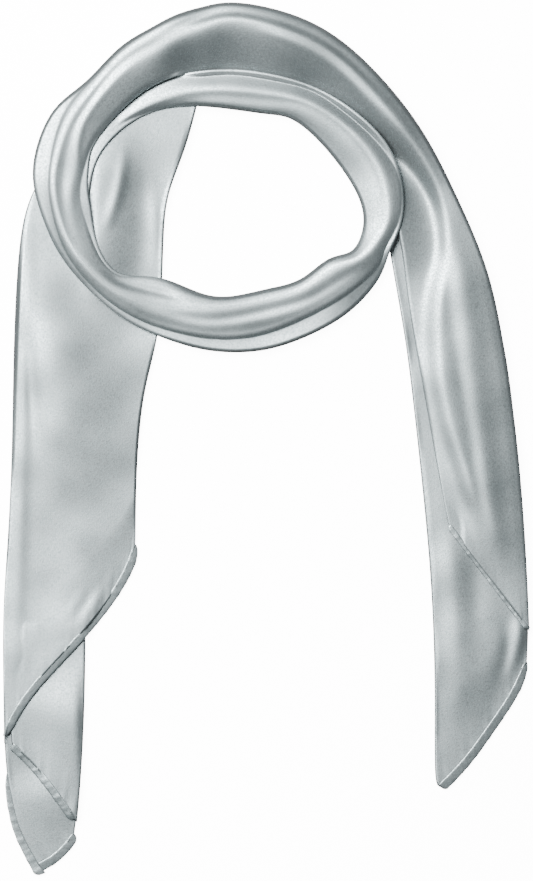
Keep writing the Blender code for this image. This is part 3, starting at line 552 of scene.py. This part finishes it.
def run_sections():
    """The run's sections at even steps along its middle line, as named columns; their places in the
    rows and their distances along the line."""
    curves = {name: Curve([row[i] for row in RUN_ROWS]) for i, name in enumerate(RUN_COLUMNS)}
    fine = np.linspace(0.0, INNER_ARC_END, RUN_POINTS)
    middle = np.stack([curves["out_x"].at(fine) + curves["in_x"].at(fine),
                       curves["out_y"].at(fine) + curves["in_y"].at(fine)], axis=1) / 2.0
    lengths = length_along(middle)
    walk = np.linspace(0.0, lengths[-1], int(lengths[-1] / RUN_SPACING) + 2)
    place = np.interp(walk, lengths, fine)
    return {name: curve.at(place)[:, None] for name, curve in curves.items()}, place, walk


def run_tops(section, place, walk, spots, shares, width):
    """Heights of the run's upper face."""
    edges = np.zeros_like(width)
    knots = np.concatenate([edges, section["shoulder_at"], section["crown_at"], section["foot_at"],
                            edges + 1.0], axis=1)
    heights = np.concatenate([section[name] for name in
                              ("out_z", "shoulder_z", "crown_z", "foot_z", "in_z")], axis=1)
    share = np.broadcast_to(shares, (len(place), len(shares)))
    tops = blur(without_overshoot(knots, heights, share), RUN_BLUR_ACROSS, 1)
    past_crease = (share - section["shoulder_at"]) * width
    to_crown = (section["crown_at"] - share) / (section["crown_at"] - section["shoulder_at"])
    tops += section["step"] * quarter_round(past_crease / STEP_ROLL) * np.clip(to_crown, 0.0, 1.0)
    for _, first, last, rise, outer_half, inner_half, line in RUN_FOLDS:
        along = (place - first) / (last - first)
        centre = Curve(line).at(np.clip(along, 0.0, 1.0) * (len(line) - 1))[:, None]
        fade = (ease(along * RUN_FADE) * ease((1.0 - along) * RUN_FADE))[:, None]
        gap = (share - centre) * width
        tops += rise * fade * np.exp(-(gap / np.where(gap < 0.0, outer_half, inner_half)) ** 2)
    tops += broad_ripple(spots[:, :, 0], spots[:, :, 1])
    pucker = ripple(share * width, PUCKER_RIPPLES)
    return tops + pucker * np.exp(-walk[:, None] / PUCKER_REACH)


def tapered(tops, base, to_hem):
    """Brings a layer's top down to its hem."""
    level = base + END_HEIGHT
    return np.where(tops > level, level + (tops - level) * ease(to_hem / END_TAPER), tops)


def lay_run(laid):
    """The run of cloth from the right tail's front hem to the inner arc's end, in one piece."""
    section, place, walk = run_sections()
    outer = np.concatenate([section["out_x"], section["out_y"]], axis=1)
    inner = np.concatenate([section["in_x"], section["in_y"]], axis=1)
    width = np.linalg.norm(inner - outer, axis=1)[:, None]
    shares = across_shares(RUN_ACROSS)
    spots = outer[:, None, :] + (inner - outer)[:, None, :] * shares[None, :, None]
    tops = run_tops(section, place, walk, spots, shares, width)
    base = np.zeros_like(tops)

    def settle(first, last, trees):
        rows = np.nonzero((place >= first) & (place <= last))[0]
        base[rows] = rest_heights(trees, spots[rows], shares, RUN_REACH)
        return tree_of(wrap(spots[rows], shares, tops[rows], base[rows], RUN_ROLL, RUN_LAYERS))

    tails = [laid["left_tail_top"], laid["right_tail_back"], laid["right_back_hem"]]
    front = settle(0.0, FRONT_BAND_START, tails[1:])
    arc = settle(INNER_ARC_START, INNER_ARC_END, tails + [front])
    settle(FRONT_BAND_START, INNER_ARC_START, tails + [arc])
    base = blur(base, RUN_BLUR_ALONG, 0)
    tops = tapered(tops, base, walk[:, None])
    return wrap(spots, shares, tops, base, RUN_ROLL, RUN_LAYERS)


def lay_layer(name, trees):
    """One flat layer: a patch between its borders, wrapped round its two side folds."""
    sides, heights, folds, across = LAYERS[name]
    rows = int(length_along(np.array(sides["left"]))[-1] / LAYER_SPACING) + 2
    down = np.linspace(0.0, 1.0, rows)
    shares = across_shares(across)
    left, right = border_points(sides["left"], down), border_points(sides["right"], down)
    low = border_points(sides["bottom"], shares)
    bend = low - (low[0] + (low[-1] - low[0]) * shares[:, None])
    spots = left[:, None, :] + (right - left)[:, None, :] * shares[None, :, None]
    spots = spots + bend[None, :, :] * (down ** 2)[:, None, None]
    levels = np.array(heights)
    tops = blur(np.interp(spots[:, :, 1], levels[:, 0], levels[:, 1]), LAYER_BLUR_DOWN, 0)
    width = np.linalg.norm(right - left, axis=1)[:, None]
    edge = ease(np.minimum(shares, 1.0 - shares)[None, :] * width / LAYER_EDGE)
    fold_shares = np.linspace(0.0, 1.0, FOLD_POINTS)
    for _, start, middle, end, rise, left_half, right_half in folds:
        gap, at = off_line(spots, border_points((start, middle, end), fold_shares))
        fade = ease(at * LAYER_FADE) * ease((1.0 - at) * LAYER_FADE)
        half = np.where(gap < 0.0, left_half, right_half)
        tops += rise * fade * edge * np.exp(-(gap / half) ** 2)
    tops += broad_ripple(spots[:, :, 0], spots[:, :, 1]) * edge
    base = rest_heights(trees, spots, shares, LAYER_REACH)
    tops = np.maximum(tops, base + THINNEST)
    to_hem = (1.0 - down)[:, None] * length_along(left)[-1]
    tops = tapered(tops, base, to_hem)
    tops = tops + ripple(shares[None, :] * width, PUCKER_RIPPLES) * np.exp(-to_hem / PUCKER_REACH)
    return wrap(spots, shares, tops, base, LAYER_ROLL, LAYER_LAYERS)


def hem_line(name):
    """A hem's middle line on the plan, the way outwards, half its width, and the walk along it."""
    border, first, last, first_width, last_width = HEM_ROWS[name][:5]
    total = length_along(border_points(border, np.linspace(first, last, HEM_POINTS)))[-1]
    along = np.linspace(0.0, 1.0, int(total / HEM_SPACING) + 2)
    share = first + (last - first) * along
    near = np.minimum(share, 1.0)
    ahead = (border_points(border, np.minimum(near + HEM_WAY_REACH, 1.0))
             - border_points(border, np.maximum(near - HEM_WAY_REACH, 0.0)))
    outward = np.stack([-ahead[:, 1], ahead[:, 0]], axis=1)
    outward /= np.linalg.norm(outward, axis=1)[:, None]
    half = 0.5 * (first_width + (last_width - first_width) * along)
    centre = border_points(border, share) + outward * (half - HEM_OVERLAP)[:, None]
    return centre, outward, half, along * total


def lay_hem(name, trees):
    """Rolled hem: a low closed roll just outside a border, sloping outwards, slightly crinkled."""
    centre, outward, half, walk = hem_line(name)
    first_end, last_end, fall = HEM_ROWS[name][5:]
    base = rest_table(trees, centre[:, None, :], HEM_REACH)
    base = blur(highest_near(base), HEM_BLUR, 0)
    ends = quarter_round(np.minimum(walk / first_end, (walk[-1] - walk) / last_end))[:, None]
    width_share = HEM_END_WIDTH[0] + HEM_END_WIDTH[1] * ends
    height_share = HEM_END_HEIGHT[0] + HEM_END_HEIGHT[1] * ends
    turns = np.linspace(0.0, 2.0 * math.pi, HEM_AROUND)[None, :]
    side = np.sign(np.cos(turns)) * np.abs(np.cos(turns)) ** HEM_SIDE_POWER
    level = 0.5 + 0.5 * np.sign(np.sin(turns)) * np.abs(np.sin(turns)) ** HEM_LEVEL_POWER
    crinkle = ripple(walk[:, None] + HEM_CRINKLE_LEAN * side, HEM_RIPPLES)
    reach = half[:, None] * ((1.0 + side) * width_share - 1.0) + crinkle * (side > 0.0)
    spots = centre[:, None, :] + outward[:, None, :] * reach[:, :, None]
    rise = HEM_HEIGHT * (1.0 - fall * side) * height_share + crinkle * (1.0 - side ** 2)
    heights = base + AIR + rise * level
    return to_world(spots[:, :, 0], spots[:, :, 1], heights)


def smooth_piece(bm, name):
    """An object with this mesh, smooth shaded, at the origin."""
    mesh = bpy.data.meshes.new(name)
    bm.to_mesh(mesh)
    bm.free()
    mesh.shade_smooth()
    made = bpy.data.objects.new(name, mesh)
    bpy.context.scene.collection.objects.link(made)
    return made


def cloth_piece(name, places, finish):
    """A shell of cloth with its outer face at the given places and its wall inside them."""
    bm = grid_at(places)
    bmesh.ops.reverse_faces(bm, faces=bm.faces)
    piece = smooth_piece(bm, name)
    piece.data.materials.append(finish)
    wall = piece.modifiers.new("cloth wall", "SOLIDIFY")
    wall.thickness = CLOTH * MM
    wall.offset = -1.0
    return piece


def hem_piece(name, places, finish):
    """A closed roll of cloth, its two long edges joined and its ends filled."""
    bm = grid_at(places)
    bmesh.ops.remove_doubles(bm, verts=bm.verts, dist=HEM_MERGE * MM)
    open_edges = [edge for edge in bm.edges if edge.is_boundary]
    bmesh.ops.holes_fill(bm, edges=open_edges, sides=0)
    bmesh.ops.recalc_face_normals(bm, faces=bm.faces)
    piece = smooth_piece(bm, name)
    piece.data.materials.append(finish)
    return piece


def stitches_piece(name, hem_names, laid, finish):
    """Every visible stitch, a short thread lying on the inner side of its hem."""
    bm = bmesh.new()
    for hem_name in hem_names:
        centre, outward, half, walk = hem_line(hem_name)
        for target in np.arange(STITCH_STEP, walk[-1] - STITCH_STEP / 2, STITCH_STEP):
            i = int(np.searchsorted(walk, target))
            spot = centre[i] + outward[i] * half[i] * STITCH_SIDE
            level = highest_hit([laid[hem_name]], spot[0], spot[1])
            if level is None:
                continue
            ahead = centre[min(i + 2, len(centre) - 1)] - centre[max(i - 2, 0)]
            heading = math.atan2(-ahead[1], ahead[0])
            place = (Matrix.Translation(to_world(spot[0], spot[1], level - STITCH_SINK))
                     @ Matrix.Rotation(heading, 4, "Z")
                     @ Matrix.Diagonal((STITCH_LENGTH * MM, STITCH_THICKNESS * MM,
                                        STITCH_THICKNESS * MM, 1.0)))
            bmesh.ops.create_uvsphere(bm, u_segments=STITCH_SEGMENTS, v_segments=STITCH_RINGS,
                                      radius=0.5, matrix=place)
    piece = smooth_piece(bm, name)
    piece.data.materials.append(finish)
    return piece


class Value:
    """A socket's value in a material, with the usual arithmetic."""

    def __init__(self, finish, output):
        self.finish = finish
        self.output = output

    def joined(self, operation, first, second):
        return self.finish.node("ShaderNodeMath", {"operation": operation}, {0: first, 1: second})

    def __add__(self, other):
        return self.joined("ADD", self, other)

    def __radd__(self, other):
        return self.joined("ADD", other, self)

    def __sub__(self, other):
        return self.joined("SUBTRACT", self, other)

    def __rsub__(self, other):
        return self.joined("SUBTRACT", other, self)

    def __mul__(self, other):
        return self.joined("MULTIPLY", self, other)

    def __rmul__(self, other):
        return self.joined("MULTIPLY", other, self)


class Finish:
    """A procedural material and the one way in which its nodes are added."""

    def __init__(self, name):
        self.material = bpy.data.materials.new(name)
        self.material.use_nodes = True
        self.tree = self.material.node_tree
        self.shader = self.tree.nodes["Principled BSDF"]

    def node(self, kind, settings, inputs, output=0):
        made = self.tree.nodes.new(kind)
        for name, value in settings.items():
            setattr(made, name, value)
        for name, value in inputs.items():
            self.feed(made.inputs[name], value)
        return Value(self, made.outputs[output])

    def feed(self, socket, value):
        if isinstance(value, Value):
            self.tree.links.new(value.output, socket)
        else:
            socket.default_value = value

    def set(self, name, value):
        self.feed(self.shader.inputs[name], value)

    def noise(self, place, scale, detail):
        return self.node("ShaderNodeTexNoise", {"noise_dimensions": "3D"},
                         {"Vector": place, "Scale": scale, "Detail": detail,
                          "Roughness": NOISE_ROUGHNESS})


# Noises over the satin: the scale and detail of its sparkle, its threads and its cloudiness, and how
# much each moves the tone, the roughness and the height of the grain.
SPARKLE_SCALE = 1150.0
THREAD_SCALE = 1900.0
CLOUD_SCALE = 55.0
SOFT_DETAIL = 2.0
THREAD_DETAIL = 1.0
THREAD_STRETCH = (1.0, 0.3, 1.0)
NOISE_ROUGHNESS = 0.55
SPARKLE_TONE = 2.4
THREAD_TONE = 1.2
CLOUD_TONE = 0.6
SPARKLE_ROUGHNESS = -0.45
CLOUD_ROUGHNESS = 0.08
SPARKLE_HEIGHT = 0.7
THREAD_HEIGHT = 0.3
SHEEN = 0.10
SHEEN_ROUGHNESS = 0.5

# The two finishes: light and dark tone, metallic, roughness and the depth of the grain in metres.
SATIN = ((0.39, 0.44, 0.45, 1.0), (0.23, 0.275, 0.282, 1.0), 0.94, 0.43, 0.00004)
HEM_SATIN = ((0.37, 0.42, 0.43, 1.0), (0.20, 0.245, 0.25, 1.0), 0.93, 0.43, 0.00007)


def satin_finish(name, light, dark, metallic, roughness, grain_depth):
    """Satin: a smooth sheen broken by a fine sparkling grain, threads and slight cloudiness."""
    made = Finish(name)
    place = made.node("ShaderNodeTexCoord", {}, {}, "Object")
    cloth = made.node("ShaderNodeUVMap", {"uv_map": "cloth"}, {})
    threads_place = made.node("ShaderNodeVectorMath", {"operation": "MULTIPLY"},
                              {0: cloth, 1: THREAD_STRETCH})
    sparkle = made.noise(place, SPARKLE_SCALE, SOFT_DETAIL)
    threads = made.noise(threads_place, THREAD_SCALE, THREAD_DETAIL)
    cloudy = made.noise(place, CLOUD_SCALE, SOFT_DETAIL)
    tone = ((sparkle - 0.5) * SPARKLE_TONE + (threads - 0.5) * THREAD_TONE
            + (cloudy - 0.5) * CLOUD_TONE + 0.5)
    color = made.node("ShaderNodeMix", {"data_type": "RGBA"},
                      {"Factor": tone, 6: dark, 7: light}, 2)
    made.set("Base Color", color)
    made.set("Roughness", (sparkle - 0.5) * SPARKLE_ROUGHNESS + (cloudy - 0.5) * CLOUD_ROUGHNESS
             + roughness)
    grain = sparkle * SPARKLE_HEIGHT + threads * THREAD_HEIGHT
    made.set("Normal", made.node("ShaderNodeBump", {}, {
        "Strength": 1.0, "Distance": grain_depth, "Height": grain}))
    made.set("Metallic", metallic)
    made.set("Sheen Weight", SHEEN)
    made.set("Sheen Roughness", SHEEN_ROUGHNESS)
    return made.material


# The picture in pixels, a pixel's size on the plan in millimetres, the camera's height and far limit
# in metres, and its sensor in millimetres.
FRAME_PIXELS = (533, 881)
PIXEL = 0.471
CAMERA_HEIGHT = 4.0
CAMERA_FAR = 50.0
SENSOR = 36.0

# The floor, in metres, glows white by itself but lights nothing.
FLOOR_SIZE = 20.0
FLOOR_DROP = 0.0003
FLOOR_WHITE = (0.90, 0.90, 0.90, 1.0)
FLOOR_ROUGHNESS = 0.9
GLOW_WHITE = (1.0, 1.0, 1.0, 1.0)
FLOOR_GLOW = 12.0

# The room's light, and the key light: tilt and heading in degrees, distance, size and power.
ROOM_COLOR = (0.92, 0.97, 1.0, 1.0)
ROOM_STRENGTH = 0.15
KEY_LIGHT = (36.0, 138.0, 1.6, 1.2, 116.0)


def make_stage():
    bm = bmesh.new()
    bmesh.ops.create_grid(bm, x_segments=1, y_segments=1, size=FLOOR_SIZE)
    bmesh.ops.translate(bm, verts=bm.verts, vec=(0.0, 0.0, -FLOOR_DROP))
    floor = smooth_piece(bm, "floor")
    white = Finish("white_floor")
    white.set("Base Color", FLOOR_WHITE)
    white.set("Roughness", FLOOR_ROUGHNESS)
    white.set("Emission Color", GLOW_WHITE)
    white.set("Emission Strength", FLOOR_GLOW)
    floor.data.materials.append(white.material)
    floor.visible_diffuse = False
    floor.visible_glossy = False


def soft_light(name, tilt, heading, distance, size, power):
    """A round soft light: its tilt from straight up and its heading, both in degrees."""
    data = bpy.data.lights.new(name, "AREA")
    data.shape = "DISK"
    data.size = size
    data.energy = power
    lean, turn = math.radians(tilt), math.radians(heading)
    place = distance * Vector((math.sin(lean) * math.cos(turn), math.sin(lean) * math.sin(turn),
                               math.cos(lean)))
    light = bpy.data.objects.new(name, data)
    light.location = place
    light.rotation_euler = (-place).to_track_quat("-Z", "Y").to_euler()
    light.visible_camera = False
    bpy.context.scene.collection.objects.link(light)


def make_light():
    world = bpy.data.worlds.new("room")
    world.use_nodes = True
    background = world.node_tree.nodes["Background"]
    background.inputs["Color"].default_value = ROOM_COLOR
    background.inputs["Strength"].default_value = ROOM_STRENGTH
    bpy.context.scene.world = world
    soft_light("key", *KEY_LIGHT)


def make_camera():
    data = bpy.data.cameras.new("camera")
    data.sensor_width = SENSOR
    data.lens = SENSOR * CAMERA_HEIGHT / (FRAME_PIXELS[1] * PIXEL * MM)
    data.clip_end = CAMERA_FAR
    camera = bpy.data.objects.new("camera", data)
    camera.location = ((FRAME_PIXELS[0] * PIXEL - PLAN_WIDTH) / 2 * MM,
                       (PLAN_LENGTH - FRAME_PIXELS[1] * PIXEL) / 2 * MM, CAMERA_HEIGHT)
    bpy.context.scene.collection.objects.link(camera)
    bpy.context.scene.camera = camera


def lay_scarf():
    """Places of every stretch and hem, laid one on another from the bottom up."""
    places, laid = {}, {}

    def keep(name, table):
        places[name] = table
        laid[name] = tree_of(table)

    corner = ("left_tail_under", "left_corner_side_hem", "left_corner_end_hem")
    left_end = corner + ("left_tail_middle", "left_middle_hem")
    right_back = ("right_tail_back", "right_back_hem")
    for name, names_under in (
            ("left_tail_under", ()), ("left_corner_side_hem", ()), ("left_corner_end_hem", ()),
            ("left_tail_middle", corner), ("left_middle_hem", corner),
            ("left_tail_top", left_end), ("left_top_hem", left_end),
            ("right_tail_back", ()), ("right_back_hem", ()), ("right_front_hem", right_back)):
        lay = lay_layer if name in LAYERS else lay_hem
        keep(name, lay(name, [laid[below] for below in names_under]))
    keep("band", lay_run(laid))
    return places, laid


# Shells of cloth: the nodes that each stands for, what it rests on, the hems on it, and the flat size
# in metres of the part of the cut that it shows.
CLOTH_ROWS = {
    "left_tail_under": (("left_tail_under",), ("floor",),
                        ("left_corner_side_hem", "left_corner_end_hem"), (0.075, 0.103)),
    "left_tail_middle": (("left_tail_middle",), ("left_tail_under_cloth",), ("left_middle_hem",),
                         (0.070, 0.066)),
    "left_tail_top": (("left_tail_top",), ("floor", "left_tail_middle_cloth"), ("left_top_hem",),
                      (0.130, 0.270)),
    "right_tail_back": (("right_tail_back",), ("floor",), ("right_back_hem",), (0.085, 0.245)),
    "band": (("right_tail_front", "top_arc", "front_band", "inner_arc"),
             ("floor", "left_tail_top_cloth", "right_tail_back_cloth"), ("right_front_hem",),
             (0.052, 1.080))}


def make_scarf():
    satin = satin_finish("silver_satin", *SATIN)
    hem_satin = satin_finish("silver_hem", *HEM_SATIN)
    places, laid = lay_scarf()
    rolls = {}
    for name in HEM_ROWS:
        rolls[name] = hem_piece(name + "_roll", places[name], hem_satin)
        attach(rolls[name], "root")
        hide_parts(name)
    for name, (nodes, rests_on, hems, flat) in CLOTH_ROWS.items():
        piece = cloth_piece(name + "_cloth", places[name], satin)
        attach(piece, "root")
        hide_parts(*nodes)
    stitches = stitches_piece("hem_stitches", HEM_ROWS, laid, hem_satin)
    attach(stitches, "root")


make_stage()
make_light()
make_camera()
make_scarf()
